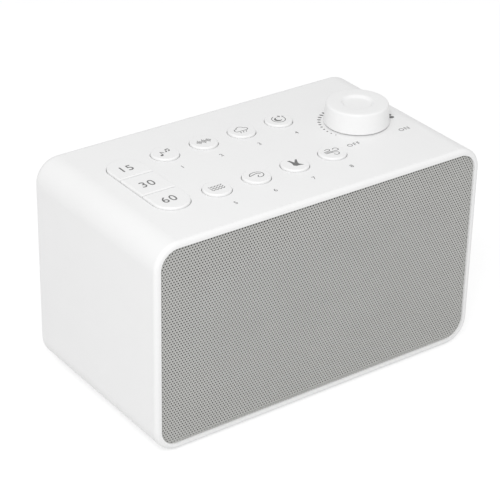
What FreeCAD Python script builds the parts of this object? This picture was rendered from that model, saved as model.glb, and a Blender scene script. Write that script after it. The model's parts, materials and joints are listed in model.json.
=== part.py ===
import FreeCAD, Part
import math
import os

# White noise sound machine. Millimetres, Z up, front grille facing -Y.
# The origin is on the table, in the middle of the footprint, under the four feet.

# Casing
BODY_WIDTH = 165.0
BODY_DEPTH = 93.0
BODY_HEIGHT = 96.0
CORNER_RADIUS = 11.0
WALL = 2.6
FRONT_EDGE_RADIUS = 1.8
BACK_EDGE_RADIUS = 4.0

# Feet
FOOT_RADIUS = 5.0
FOOT_STANDOFF = 1.0
FOOT_SEAT_DEPTH = 0.8
FOOT_INSET_X = 17.0
FOOT_INSET_Y = 14.0
FOOT_CLEARANCE = 0.1

# Front: rim, perforated sheet, cloth and the wall that carries the speaker
RIM_WIDTH = 2.7
GRILLE_RECESS = 0.9
GRILLE_THICKNESS = 0.8
GRILLE_CLEARANCE = 0.15
GRILLE_HOLE_DIAMETER = 4.0
GRILLE_HOLE_PITCH = 7.6
GRILLE_BORDER = 1.2
CLOTH_THICKNESS = 0.4
CLOTH_INSET = 1.0
BAFFLE_THICKNESS = 2.6
SPEAKER_OPENING_RADIUS = 31.0

# Rear cover
COVER_INSET = 4.2
COVER_RECESS = 0.8
COVER_THICKNESS = 2.5
COVER_CLEARANCE = 0.25
COVER_EDGE_RADIUS = 0.6
POST_RADIUS = 4.0
POST_INSET = 8.5
POST_WEB = 1.6
POST_HOLE_DEPTH = 14.0

# Screws
SCREW_RADIUS = 1.5
SCREW_LENGTH = 10.0
SCREW_HEAD_RADIUS = 2.7
SCREW_HEAD_HEIGHT = 1.4
SCREW_SLOT_WIDTH = 0.6
SCREW_SLOT_REACH = 0.6
SCREW_SLOT_DEPTH = 0.8
SCREW_CLEARANCE = 0.06
SMALL_SCREW_RADIUS = 1.1
SMALL_SCREW_LENGTH = 4.6
SMALL_HEAD_RADIUS = 2.1
SMALL_HEAD_HEIGHT = 1.1
HEAD_CLEARANCE = 0.2

# Sound buttons: two rows of round caps
BUTTON_COLUMNS = 4
BUTTON_SIDE_ROOM = 9.45
BUTTON_SHIFT_X = 1.15
BUTTON_ROW_Y = 19.0
BUTTON_RADIUS = 6.1
BUTTON_CLEARANCE = 0.25
BUTTON_PROUD = 1.1
BUTTON_EDGE_RADIUS = 0.7
CAP_WALL = 1.3
CAP_TOP = 1.6
STEM_RADIUS = 2.3
FLANGE_WIDTH = 1.0
FLANGE_THICKNESS = 1.2
FLANGE_GAP = 0.3
BUTTON_TRAVEL = 0.5

# Timer buttons: three caps that share one long round-ended opening
TIMER_NAMES = ("15", "30", "60")
TIMER_INSET_X = 27.1
TIMER_WIDTH = 16.2
TIMER_LENGTH = 49.0
TIMER_GAP = 0.6

# Switches and the keypad board under the top panel
SWITCH_SIZE = 6.0
SWITCH_BODY_HEIGHT = 3.5
SWITCH_HEIGHT = 5.0
PLUNGER_RADIUS = 1.7
PLUNGER_CLEARANCE = 0.06
PLUNGER_BURIED = 1.2
KEYPAD_INSET_X = 14.0
KEYPAD_POT_GAP = 3.3
KEYPAD_HALF_DEPTH = 31.0
BOARD_THICKNESS = 1.6
BOARD_CORNER_RADIUS = 2.0
KEYPAD_BOSS_RADIUS = 3.0
KEYPAD_BOSS_INSET = 4.2

# Volume control
KNOB_INSET_X = 30.7
KNOB_Y = 0.0
KNOB_RADIUS = 14.3
KNOB_TOP_RADIUS = 13.7
KNOB_HEIGHT = 9.3
KNOB_GAP = 0.4
KNOB_EDGE_RADIUS = 1.7
KNOB_WALL = 2.0
KNOB_TOP = 2.6
KNOB_HUB_RADIUS = 5.0
KNOB_DISH_RADIUS = 6.8
KNOB_DISH_DEPTH = 0.9
SHAFT_RADIUS = 3.0
SHAFT_FLAT = 1.5
SHAFT_CLEARANCE = 0.04
SHAFT_RUNNING_CLEARANCE = 0.05
SHAFT_TIP_GAP = 0.3
SHAFT_BURIED = 5.0
POT_RADIUS = 8.5
POT_HEIGHT = 10.0
POT_LUG_WIDTH = 1.5
POT_LUG_THICKNESS = 0.4
POT_LUG_PITCH = 4.0
POT_LUG_COUNT = 5
BUSHING_RADIUS = 4.0
BUSHING_PROUD = 3.0
BUSHING_CLEARANCE = 0.1
NUT_ACROSS_FLATS = 11.0
NUT_HEIGHT = 2.0
WASHER_RADIUS = 6.5
WASHER_THICKNESS = 0.5

# Speaker, on the front-to-back axis
SPEAKER_X = 0.0
SPEAKER_HEIGHT = 48.0
SEAL_RING_WIDTH = 3.4
SEAL_RING_HEIGHT = 5.0
GASKET_THICKNESS = 0.8
BASKET_SHEET = 1.0
BASKET_EAR_RADIUS = 4.6
BASKET_DEPTH = 19.0
BASKET_BACK_RADIUS = 23.0
BASKET_WINDOWS = 4
BASKET_WINDOW_WIDTH = 20.0
SPEAKER_SCREW_CIRCLE = 38.6
SPEAKER_BOSS_RADIUS = 3.4
SURROUND_WIDTH = 4.6
SURROUND_SHEET = 0.5
CONE_SHEET = 0.5
CONE_DEPTH = 10.5
CONE_TRAVEL = 1.5
DUST_CAP_RADIUS = 12.5
DUST_CAP_RISE = 3.2
COIL_RADIUS = 9.7
COIL_FORMER = 0.3
COIL_WINDING = 0.4
COIL_WINDING_LENGTH = 5.0
COIL_END_GAP = 1.5
AIR_GAP = 0.45
POLE_GAP = 0.4
PLATE_RADIUS = 21.0
PLATE_THICKNESS = 3.0
MAGNET_RADIUS = 22.5
MAGNET_HOLE_RADIUS = 12.5
MAGNET_THICKNESS = 8.0
SPIDER_RADIUS = 19.5
SPIDER_SHEET = 0.4
SPIDER_WAVES = 3
SPIDER_WAVE_HEIGHT = 0.8
SPIDER_SHELF_WIDTH = 2.5
SPIDER_ABOVE_PLATE = 5.5
TERMINAL_WIDTH = 12.0
TERMINAL_HEIGHT = 7.0
TERMINAL_THICKNESS = 1.2
TAG_LENGTH = 6.0

# Main board on the floor of the casing, with the power inlet at its back edge
MAIN_BOARD_WIDTH = 74.0
MAIN_BOARD_DEPTH = 40.0
MAIN_BOARD_STANDOFF = 4.0
MAIN_BOARD_COVER_GAP = 0.5
MAIN_BOSS_RADIUS = 3.0
MAIN_BOSS_INSET = 4.0
INLET_X = 0.0
INLET_WIDTH = 9.0
INLET_HEIGHT = 11.0
INLET_LENGTH = 14.0
INLET_BORE_RADIUS = 3.2
INLET_BORE_DEPTH = 9.5
INLET_PIN_RADIUS = 1.0
INLET_AXIS_HEIGHT = 6.5
INLET_OPENING_RADIUS = 4.6
CHIP_LONG = 10.0
CHIP_WIDE = 6.0
CHIP_THICK = 1.6
CHIP_PITCH_X = 14.0
CHIP_COUNT = 3
CHIP_INSET_Y = 9.8
CAPACITOR_RADIUS = 3.2
CAPACITOR_HEIGHT = 9.0
CAPACITOR_COUNT = 3
CAPACITOR_PITCH_X = 9.0
CAPACITOR_X = 14.0
CAPACITOR_INSET_Y = 24.8
PLUG_LENGTH = 12.0
PLUG_WIDTH = 5.0
PLUG_HEIGHT = 6.0
RIBBON_WIDTH = 9.0
RIBBON_THICKNESS = 0.8
RIBBON_X = -24.0
RIBBON_INSET_Y = 19.8
LEAD_RADIUS = 0.7
LEAD_SPACING = 2.4
LEAD_BEND = 5.0
LEAD_PLUG_X = 26.0
LEAD_PLUG_INSET_Y = 9.8

# Places, heights and depths that follow from the sizes above
TIMER_X = TIMER_INSET_X - BODY_WIDTH / 2
KNOB_X = BODY_WIDTH / 2 - KNOB_INSET_X
BUTTON_PITCH_X = (KNOB_X - TIMER_X - BUTTON_SIDE_ROOM) / (BUTTON_COLUMNS + 1)
BUTTON_FIRST_X = TIMER_X + BUTTON_PITCH_X + BUTTON_SHIFT_X
KEYPAD_LEFT_X = KEYPAD_INSET_X - BODY_WIDTH / 2
KEYPAD_RIGHT_X = KNOB_X - POT_RADIUS - KEYPAD_POT_GAP
KEYPAD_MIDDLE_BOSS_X = BUTTON_FIRST_X + BUTTON_PITCH_X * (BUTTON_COLUMNS - 1) / 2
BODY_BOTTOM = FOOT_STANDOFF
BODY_TOP = BODY_BOTTOM + BODY_HEIGHT
BODY_MIDDLE = BODY_BOTTOM + BODY_HEIGHT / 2
FLOOR_Z = BODY_BOTTOM + WALL
CEILING_Z = BODY_TOP - WALL
FRONT_Y = -BODY_DEPTH / 2
BACK_Y = BODY_DEPTH / 2
GRILLE_FRONT_Y = FRONT_Y + GRILLE_RECESS
GRILLE_BACK_Y = GRILLE_FRONT_Y + GRILLE_THICKNESS
BAFFLE_FRONT_Y = GRILLE_BACK_Y + CLOTH_THICKNESS
BAFFLE_BACK_Y = BAFFLE_FRONT_Y + BAFFLE_THICKNESS
COVER_BACK_Y = BACK_Y - COVER_RECESS
COVER_FRONT_Y = COVER_BACK_Y - COVER_THICKNESS
POST_X = BODY_WIDTH / 2 - POST_INSET
POST_LOW_Z = BODY_BOTTOM + POST_INSET
POST_HIGH_Z = BODY_TOP - POST_INSET
FLANGE_TOP_Z = CEILING_Z - FLANGE_GAP
PLUNGER_TOP_Z = FLANGE_TOP_Z - FLANGE_THICKNESS
KEYPAD_TOP_Z = PLUNGER_TOP_Z - SWITCH_HEIGHT
KEYPAD_BOTTOM_Z = KEYPAD_TOP_Z - BOARD_THICKNESS
SWITCH_TOP_Z = KEYPAD_TOP_Z + SWITCH_BODY_HEIGHT
SWITCH_WELL_Z = SWITCH_TOP_Z - PLUNGER_BURIED - BUTTON_TRAVEL - FLANGE_GAP
BUTTON_TOP_Z = BODY_TOP + BUTTON_PROUD
KNOB_BOTTOM_Z = BODY_TOP + KNOB_GAP
KNOB_TOP_Z = KNOB_BOTTOM_Z + KNOB_HEIGHT
NUT_BOTTOM_Z = BODY_TOP + WASHER_THICKNESS
NUT_TOP_Z = NUT_BOTTOM_Z + NUT_HEIGHT
BUSHING_TOP_Z = BODY_TOP + BUSHING_PROUD
POT_BOTTOM_Z = CEILING_Z - POT_HEIGHT
SPEAKER_Z = BODY_BOTTOM + SPEAKER_HEIGHT
SEAL_RADIUS = SPEAKER_OPENING_RADIUS + SEAL_RING_WIDTH
GASKET_FRONT_Y = BAFFLE_BACK_Y + SEAL_RING_HEIGHT
BASKET_FRONT_Y = GASKET_FRONT_Y + GASKET_THICKNESS
BASKET_FLANGE_Y = BASKET_FRONT_Y + BASKET_SHEET
TOP_PLATE_Y = BASKET_FRONT_Y + BASKET_DEPTH
MAGNET_Y = TOP_PLATE_Y + PLATE_THICKNESS
YOKE_Y = MAGNET_Y + MAGNET_THICKNESS
YOKE_BACK_Y = YOKE_Y + PLATE_THICKNESS
SPIDER_Y = TOP_PLATE_Y - SPIDER_ABOVE_PLATE
CONE_RADIUS = SPEAKER_OPENING_RADIUS - SURROUND_WIDTH
CONE_NECK_Y = BASKET_FRONT_Y + CONE_DEPTH
COIL_OUTER_RADIUS = COIL_RADIUS + COIL_FORMER
COIL_BACK_Y = YOKE_Y - CONE_TRAVEL - COIL_END_GAP
MAIN_BOARD_BOTTOM_Z = FLOOR_Z + MAIN_BOARD_STANDOFF
MAIN_BOARD_TOP_Z = MAIN_BOARD_BOTTOM_Z + BOARD_THICKNESS
MAIN_BOARD_BACK_Y = COVER_FRONT_Y - MAIN_BOARD_COVER_GAP
MAIN_BOARD_FRONT_Y = MAIN_BOARD_BACK_Y - MAIN_BOARD_DEPTH
INLET_Z = MAIN_BOARD_TOP_Z + INLET_AXIS_HEIGHT
CHIP_Y = MAIN_BOARD_FRONT_Y + CHIP_INSET_Y
CAPACITOR_Y = MAIN_BOARD_FRONT_Y + CAPACITOR_INSET_Y
RIBBON_Y = MAIN_BOARD_FRONT_Y + RIBBON_INSET_Y
LEAD_PLUG_Y = MAIN_BOARD_FRONT_Y + LEAD_PLUG_INSET_Y

# A cut runs this far past a face, and a boss or post starts this far inside its wall
PAST = 1.0


# Basic solids
def box(x0, x1, y0, y1, z0, z1):
    return Part.makeBox(x1 - x0, y1 - y0, z1 - z0, FreeCAD.Vector(x0, y0, z0))


def round_z(radius, x, y, z0, z1):
    return Part.makeCylinder(radius, z1 - z0, FreeCAD.Vector(x, y, z0), FreeCAD.Vector(0, 0, 1))


def round_y(radius, x, z, y0, y1):
    return Part.makeCylinder(radius, y1 - y0, FreeCAD.Vector(x, y0, z), FreeCAD.Vector(0, 1, 0))


def tube_y(outer, inner, x, z, y0, y1):
    return round_y(outer, x, z, y0, y1).cut(round_y(inner, x, z, y0 - PAST, y1 + PAST))


def rounded_outline(left, right, low, high, radius, place):
    """Closed wire of a rounded rectangle; place(a, b) gives a point of its plane."""
    slant = radius * (1 - math.sqrt(0.5))
    sides = []
    corners = ((right, high, 1, 1), (left, high, -1, 1), (left, low, -1, -1), (right, low, 1, -1))
    previous = place(right, low + radius)
    for a, b, side_a, side_b in corners:
        along_a = place(a - side_a * radius, b)
        along_b = place(a, b - side_b * radius)
        middle = place(a - side_a * slant, b - side_b * slant)
        first, last = (along_b, along_a) if side_a == side_b else (along_a, along_b)
        if previous.distanceToPoint(first) > 1e-6:
            sides.append(Part.LineSegment(previous, first).toShape())
        sides.append(Part.Arc(first, middle, last).toShape())
        previous = last
    return Part.Wire(sides)


def rounded_block(inset, y0, y1):
    """Block along Y with the casing's outline, drawn in by inset on every side."""
    def place(a, b):
        return FreeCAD.Vector(a, y0, b)
    half = BODY_WIDTH / 2 - inset
    wire = rounded_outline(
        -half, half, BODY_BOTTOM + inset, BODY_TOP - inset, CORNER_RADIUS - inset, place
    )
    return Part.Face(wire).extrude(FreeCAD.Vector(0, y1 - y0, 0))


def rounded_slab(x0, x1, y0, y1, radius, z0, z1):
    def place(a, b):
        return FreeCAD.Vector(a, b, z0)
    wire = rounded_outline(x0, x1, y0, y1, radius, place)
    return Part.Face(wire).extrude(FreeCAD.Vector(0, 0, z1 - z0))


def stadium(grow, z0, z1):
    """Round-ended slab of the timer opening, grown outwards by grow."""
    half_width = TIMER_WIDTH / 2 + grow
    run = TIMER_LENGTH / 2 - TIMER_WIDTH / 2
    slab = box(TIMER_X - half_width, TIMER_X + half_width, -run, run, z0, z1)
    ends = [round_z(half_width, TIMER_X, side * run, z0, z1) for side in (-1, 1)]
    return slab.multiFuse(ends).removeSplitter()


def turned(points):
    """Solid turned about the speaker's axis from (radius, y) points."""
    corners = [FreeCAD.Vector(SPEAKER_X + r, y, SPEAKER_Z) for r, y in points]
    wire = Part.makePolygon(corners + [corners[0]])
    axis_point = FreeCAD.Vector(SPEAKER_X, 0, SPEAKER_Z)
    return Part.Face(wire).revolve(axis_point, FreeCAD.Vector(0, 1, 0), 360)


def sheet_points(line, thickness):
    """Outline of a thin sheet: the line of (radius, y) points out, and back behind it."""
    return line + [(r, y + thickness) for r, y in reversed(line)]


def edges_at(shape, test):
    return [edge for edge in shape.Edges if all(test(vertex.Point) for vertex in edge.Vertexes)]


def rounded_at_y(shape, y, radius):
    return shape.makeFillet(radius, edges_at(shape, lambda p: abs(p.y - y) < 1e-6))


def rounded_at_z(shape, z, radius):
    return shape.makeFillet(radius, edges_at(shape, lambda p: abs(p.z - z) < 1e-6))


def screw(radius, length, head_radius, head_height):
    """Pan-head screw with a cross recess, head up, seated at the origin."""
    shank = round_z(radius, 0, 0, -length, 0)
    head = rounded_at_z(round_z(head_radius, 0, 0, 0, head_height), head_height, head_height / 2)
    slot = head_radius * SCREW_SLOT_REACH
    half = SCREW_SLOT_WIDTH / 2
    bottom = head_height - SCREW_SLOT_DEPTH
    recess = box(-slot, slot, -half, half, bottom, head_height + PAST)
    recess = recess.fuse(box(-half, half, -slot, slot, bottom, head_height + PAST))
    return shank.fuse(head).removeSplitter().cut(recess)


def placed(shape, point, turn_axis=None, angle=0):
    moved = shape.copy()
    if turn_axis is not None:
        moved.rotate(FreeCAD.Vector(0, 0, 0), turn_axis, angle)
    moved.translate(point)
    return moved


# Places shared by several pieces
def button_places():
    """Sound buttons 1 to 4 in the back row and 5 to 8 in the front row, left to right."""
    places = []
    for row in (BUTTON_ROW_Y, -BUTTON_ROW_Y):
        for column in range(BUTTON_COLUMNS):
            places.append((BUTTON_FIRST_X + column * BUTTON_PITCH_X, row))
    return places


def timer_spans():
    """Front and back ends of the three timer caps, 15 at the back and 60 at the front."""
    length = (TIMER_LENGTH - 2 * TIMER_GAP) / 3
    step = length + TIMER_GAP
    return [(middle - length / 2, middle + length / 2) for middle in (step, 0, -step)]


def switch_places():
    timers = [(TIMER_X, (low + high) / 2) for low, high in timer_spans()]
    return button_places() + timers


def post_places():
    return [(side * POST_X, z) for side in (-1, 1) for z in (POST_LOW_Z, POST_HIGH_Z)]


def foot_places():
    x = BODY_WIDTH / 2 - FOOT_INSET_X
    y = BODY_DEPTH / 2 - FOOT_INSET_Y
    return [(side * x, end * y) for side in (-1, 1) for end in (-1, 1)]


def keypad_boss_places():
    left = KEYPAD_LEFT_X + KEYPAD_BOSS_INSET
    right = KEYPAD_RIGHT_X - KEYPAD_BOSS_INSET
    y = KEYPAD_HALF_DEPTH - KEYPAD_BOSS_INSET
    corners = [(x, end * y) for x in (left, right) for end in (-1, 1)]
    return corners + [(KEYPAD_MIDDLE_BOSS_X, 0)]


def main_boss_places():
    x = MAIN_BOARD_WIDTH / 2 - MAIN_BOSS_INSET
    front = MAIN_BOARD_FRONT_Y + MAIN_BOSS_INSET
    back = MAIN_BOARD_BACK_Y - MAIN_BOSS_INSET
    return [(side * x, y) for side in (-1, 1) for y in (front, back)]


def speaker_screw_places():
    places = []
    for quarter in range(4):
        angle = math.pi / 4 + quarter * math.pi / 2
        x = SPEAKER_X + SPEAKER_SCREW_CIRCLE * math.cos(angle)
        places.append((x, SPEAKER_Z + SPEAKER_SCREW_CIRCLE * math.sin(angle)))
    return places


# Casing
def corner_posts():
    """Four posts down the corners, tied to the walls by webs, that take the cover's screws."""
    solids = []
    for x, z in post_places():
        side = math.copysign(1, x)
        up = math.copysign(1, z - BODY_MIDDLE)
        wall_x = side * (BODY_WIDTH / 2 - WALL / 2)
        wall_z = BODY_MIDDLE + up * (BODY_HEIGHT / 2 - WALL / 2)
        half = POST_WEB / 2
        solids.append(round_y(POST_RADIUS, x, z, BAFFLE_BACK_Y - PAST, COVER_FRONT_Y))
        solids.append(
            box(min(x, wall_x), max(x, wall_x), BAFFLE_BACK_Y - PAST, COVER_FRONT_Y, z - half, z + half)
        )
        solids.append(
            box(x - half, x + half, BAFFLE_BACK_Y - PAST, COVER_FRONT_Y, min(z, wall_z), max(z, wall_z))
        )
    return solids


def main_housing():
    """Sleeve, front wall and top panel, moulded in one and open at the back."""
    outer = rounded_block(0, FRONT_Y, BACK_Y)
    outer = rounded_at_y(outer, FRONT_Y, FRONT_EDGE_RADIUS)
    outer = rounded_at_y(outer, BACK_Y, BACK_EDGE_RADIUS)
    cavity = rounded_block(WALL, BAFFLE_BACK_Y, COVER_FRONT_Y)
    mouth = rounded_block(COVER_INSET, COVER_FRONT_Y - PAST, BACK_Y + PAST)
    recess = rounded_block(RIM_WIDTH, FRONT_Y - PAST, BAFFLE_FRONT_Y)
    shell = outer.cut(cavity).cut(mouth).cut(recess)

    seal_end = GASKET_FRONT_Y
    added = corner_posts()
    added.append(round_y(SEAL_RADIUS, SPEAKER_X, SPEAKER_Z, BAFFLE_BACK_Y - PAST, seal_end))
    for x, z in speaker_screw_places():
        added.append(round_y(SPEAKER_BOSS_RADIUS, x, z, BAFFLE_BACK_Y - PAST, seal_end))
    for x, y in keypad_boss_places():
        added.append(round_z(KEYPAD_BOSS_RADIUS, x, y, KEYPAD_TOP_Z, CEILING_Z + WALL / 2))
    for x, y in main_boss_places():
        added.append(round_z(MAIN_BOSS_RADIUS, x, y, FLOOR_Z - WALL / 2, MAIN_BOARD_BOTTOM_Z))
    shell = shell.multiFuse(added)

    hole = SCREW_RADIUS + SCREW_CLEARANCE
    small_hole = SMALL_SCREW_RADIUS + SCREW_CLEARANCE
    cuts = [round_y(SPEAKER_OPENING_RADIUS, SPEAKER_X, SPEAKER_Z, FRONT_Y - PAST, seal_end + PAST)]
    for x, z in post_places():
        cuts.append(round_y(hole, x, z, COVER_FRONT_Y - POST_HOLE_DEPTH, COVER_FRONT_Y + PAST))
    for x, z in speaker_screw_places():
        cuts.append(round_y(small_hole, x, z, BAFFLE_BACK_Y, seal_end + PAST))
    for x, y in keypad_boss_places():
        cuts.append(round_z(small_hole, x, y, KEYPAD_TOP_Z - PAST, CEILING_Z))
    for x, y in main_boss_places():
        cuts.append(round_z(small_hole, x, y, FLOOR_Z, MAIN_BOARD_BOTTOM_Z + PAST))
    for x, y in button_places():
        cuts.append(
            round_z(BUTTON_RADIUS + BUTTON_CLEARANCE, x, y, CEILING_Z - PAST, BODY_TOP + PAST)
        )
    cuts.append(stadium(BUTTON_CLEARANCE, CEILING_Z - PAST, BODY_TOP + PAST))
    cuts.append(
        round_z(BUSHING_RADIUS + BUSHING_CLEARANCE, KNOB_X, KNOB_Y, CEILING_Z - PAST, BODY_TOP + PAST)
    )
    for x, y in foot_places():
        cuts.append(
            round_z(FOOT_RADIUS + FOOT_CLEARANCE, x, y, BODY_BOTTOM - PAST, BODY_BOTTOM + FOOT_SEAT_DEPTH)
        )
    return shell.cut(cuts)


def front_grille():
    """Perforated steel sheet; its coarse holes leave the same open share as the fine real ones."""
    inset = RIM_WIDTH + GRILLE_CLEARANCE
    sheet = rounded_block(inset, GRILLE_FRONT_Y, GRILLE_BACK_Y)
    half_width = BODY_WIDTH / 2 - inset
    half_height = BODY_HEIGHT / 2 - inset
    corner = CORNER_RADIUS - inset
    reach = GRILLE_HOLE_DIAMETER / 2 + GRILLE_BORDER
    row_step = GRILLE_HOLE_PITCH * math.sqrt(0.75)
    rows = int((half_height - reach) / row_step)
    columns = int((half_width - reach) / GRILLE_HOLE_PITCH) + 1
    holes = []
    for row in range(-rows, rows + 1):
        shift = GRILLE_HOLE_PITCH / 2 if row % 2 else 0
        for column in range(-columns, columns + 1):
            x = column * GRILLE_HOLE_PITCH + shift
            z = row * row_step
            past_x = max(abs(x) - (half_width - corner), 0)
            past_z = max(abs(z) - (half_height - corner), 0)
            if math.hypot(past_x, past_z) > corner - reach:
                continue
            if abs(x) > half_width - reach:
                continue
            centre = FreeCAD.Vector(x, GRILLE_FRONT_Y, BODY_MIDDLE + z)
            circle = Part.Circle(centre, FreeCAD.Vector(0, 1, 0), GRILLE_HOLE_DIAMETER / 2)
            holes.append(Part.Wire(circle.toShape()))
    front = [face for face in sheet.Faces if abs(face.CenterOfMass.y - GRILLE_FRONT_Y) < 1e-6][0]
    punched = Part.makeFace([front.OuterWire] + holes, "Part::FaceMakerBullseye")
    return punched.extrude(FreeCAD.Vector(0, GRILLE_THICKNESS, 0))


def grille_cloth():
    return rounded_block(RIM_WIDTH + CLOTH_INSET, GRILLE_BACK_Y, BAFFLE_FRONT_Y)


def rear_cover():
    """Plate that closes the back, with four countersunk screw seats and the inlet's hole."""
    plate = rounded_block(COVER_INSET + COVER_CLEARANCE, COVER_FRONT_Y, COVER_BACK_Y)
    plate = rounded_at_y(plate, COVER_BACK_Y, COVER_EDGE_RADIUS)
    seat = SCREW_HEAD_HEIGHT + SCREW_CLEARANCE
    cuts = []
    for x, z in post_places():
        cuts.append(
            round_y(SCREW_RADIUS + SCREW_CLEARANCE, x, z, COVER_FRONT_Y - PAST, COVER_BACK_Y + PAST)
        )
        cuts.append(
            round_y(SCREW_HEAD_RADIUS + HEAD_CLEARANCE, x, z, COVER_BACK_Y - seat, COVER_BACK_Y + PAST)
        )
    cuts.append(
        round_y(INLET_OPENING_RADIUS, INLET_X, INLET_Z, COVER_FRONT_Y - PAST, COVER_BACK_Y + PAST)
    )
    return plate.cut(cuts)


def rear_cover_screws():
    one = screw(SCREW_RADIUS, SCREW_LENGTH, SCREW_HEAD_RADIUS, SCREW_HEAD_HEIGHT)
    seat_y = COVER_BACK_Y - SCREW_HEAD_HEIGHT - SCREW_CLEARANCE
    back = FreeCAD.Vector(1, 0, 0)
    return Part.makeCompound(
        [placed(one, FreeCAD.Vector(x, seat_y, z), back, -90) for x, z in post_places()]
    )


def rubber_feet():
    """Four rubber pads pressed into shallow round seats under the casing."""
    feet = []
    for x, y in foot_places():
        foot = round_z(FOOT_RADIUS, x, y, 0, BODY_BOTTOM + FOOT_SEAT_DEPTH)
        feet.append(rounded_at_z(foot, 0, FOOT_STANDOFF / 2))
    return Part.makeCompound(feet)


# Buttons
def hollow_cap(outer_block, inner_block, flange, stem_places):
    """Cap with an open underside, a retaining flange and a stem for its switch."""
    cap = outer_block.fuse(flange).cut(inner_block)
    stems = [
        round_z(STEM_RADIUS, x, y, PLUNGER_TOP_Z, BUTTON_TOP_Z - CAP_TOP / 2) for x, y in stem_places
    ]
    return cap.multiFuse(stems).removeSplitter()


def sound_button(x, y):
    outer = round_z(BUTTON_RADIUS, x, y, PLUNGER_TOP_Z, BUTTON_TOP_Z)
    outer = rounded_at_z(outer, BUTTON_TOP_Z, BUTTON_EDGE_RADIUS)
    inner = round_z(BUTTON_RADIUS - CAP_WALL, x, y, PLUNGER_TOP_Z - PAST, BUTTON_TOP_Z - CAP_TOP)
    flange_radius = BUTTON_RADIUS + BUTTON_CLEARANCE + FLANGE_WIDTH
    flange = round_z(flange_radius, x, y, PLUNGER_TOP_Z, FLANGE_TOP_Z)
    return hollow_cap(outer, inner, flange, [(x, y)])


def timer_button(low, high):
    far = TIMER_LENGTH
    low_edge = low if low > -TIMER_LENGTH / 2 + TIMER_GAP else -far
    high_edge = high if high < TIMER_LENGTH / 2 - TIMER_GAP else far
    window = box(-far * 2, far * 2, low_edge, high_edge, 0, BODY_TOP * 2)
    outer = stadium(0, PLUNGER_TOP_Z, BUTTON_TOP_Z).common(window)
    outer = rounded_at_z(outer, BUTTON_TOP_Z, BUTTON_EDGE_RADIUS)
    inner_window = box(-far * 2, far * 2, low + CAP_WALL, high - CAP_WALL, 0, BODY_TOP * 2)
    inner = stadium(-CAP_WALL, PLUNGER_TOP_Z - PAST, BUTTON_TOP_Z - CAP_TOP).common(inner_window)
    flange = stadium(BUTTON_CLEARANCE + FLANGE_WIDTH, PLUNGER_TOP_Z, FLANGE_TOP_Z).common(window)
    return hollow_cap(outer, inner, flange, [(TIMER_X, (low + high) / 2)])


def switch_plunger(x, y):
    return round_z(PLUNGER_RADIUS, x, y, SWITCH_TOP_Z - PLUNGER_BURIED, PLUNGER_TOP_Z)


def tact_switches():
    """Eleven square switch bodies, each with the well that its plunger slides in."""
    half = SWITCH_SIZE / 2
    bodies = []
    for x, y in switch_places():
        body = box(x - half, x + half, y - half, y + half, KEYPAD_TOP_Z, SWITCH_TOP_Z)
        well = round_z(
            PLUNGER_RADIUS + PLUNGER_CLEARANCE, x, y, SWITCH_WELL_Z, SWITCH_TOP_Z + PAST
        )
        bodies.append(body.cut(well))
    return Part.makeCompound(bodies)


def keypad_board():
    board = rounded_slab(
        KEYPAD_LEFT_X, KEYPAD_RIGHT_X, -KEYPAD_HALF_DEPTH, KEYPAD_HALF_DEPTH,
        BOARD_CORNER_RADIUS, KEYPAD_BOTTOM_Z, KEYPAD_TOP_Z,
    )
    hole = SMALL_SCREW_RADIUS + SCREW_CLEARANCE
    holes = [
        round_z(hole, x, y, KEYPAD_BOTTOM_Z - PAST, KEYPAD_TOP_Z + PAST)
        for x, y in keypad_boss_places()
    ]
    return board.cut(holes)


def small_screw():
    return screw(SMALL_SCREW_RADIUS, SMALL_SCREW_LENGTH, SMALL_HEAD_RADIUS, SMALL_HEAD_HEIGHT)


def keypad_screws():
    across = FreeCAD.Vector(1, 0, 0)
    return Part.makeCompound([
        placed(small_screw(), FreeCAD.Vector(x, y, KEYPAD_BOTTOM_Z), across, 180)
        for x, y in keypad_boss_places()
    ])


# Volume control
def flatted_shaft(radius, z0, z1):
    """Round shaft with a flat on its upper stretch, where the knob grips it."""
    shaft = round_z(radius, KNOB_X, KNOB_Y, z0, z1)
    flat_x = KNOB_X + SHAFT_FLAT + radius - SHAFT_RADIUS
    flat_bottom = BUSHING_TOP_Z + SHAFT_TIP_GAP
    flat = box(flat_x, flat_x + radius * 2, KNOB_Y - radius * 2, KNOB_Y + radius * 2, flat_bottom, z1 + PAST)
    return shaft.cut(flat)


def volume_knob():
    """Slightly tapered cap with a dished top and an inner hub that grips the flatted shaft."""
    base = FreeCAD.Vector(KNOB_X, KNOB_Y, KNOB_BOTTOM_Z)
    up = FreeCAD.Vector(0, 0, 1)
    outer = Part.makeCone(KNOB_RADIUS, KNOB_TOP_RADIUS, KNOB_HEIGHT, base, up)
    outer = rounded_at_z(outer, KNOB_TOP_Z, KNOB_EDGE_RADIUS)
    dish_sphere = (KNOB_DISH_RADIUS ** 2 + KNOB_DISH_DEPTH ** 2) / (2 * KNOB_DISH_DEPTH)
    dish_centre = FreeCAD.Vector(KNOB_X, KNOB_Y, KNOB_TOP_Z - KNOB_DISH_DEPTH + dish_sphere)
    dish = Part.makeSphere(dish_sphere, dish_centre)
    hollow = round_z(
        KNOB_TOP_RADIUS - KNOB_WALL, KNOB_X, KNOB_Y, KNOB_BOTTOM_Z - PAST, KNOB_TOP_Z - KNOB_TOP
    )
    hub_bottom = BUSHING_TOP_Z + SHAFT_TIP_GAP
    hub = round_z(KNOB_HUB_RADIUS, KNOB_X, KNOB_Y, hub_bottom, KNOB_TOP_Z - KNOB_TOP / 2)
    grip = flatted_shaft(SHAFT_RADIUS + SHAFT_CLEARANCE, hub_bottom - PAST, KNOB_TOP_Z - KNOB_TOP)
    return outer.cut(dish).cut(hollow).fuse(hub).removeSplitter().cut(grip)


def volume_shaft():
    return flatted_shaft(
        SHAFT_RADIUS, CEILING_Z - SHAFT_BURIED, KNOB_TOP_Z - KNOB_TOP - SHAFT_TIP_GAP
    )


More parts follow.
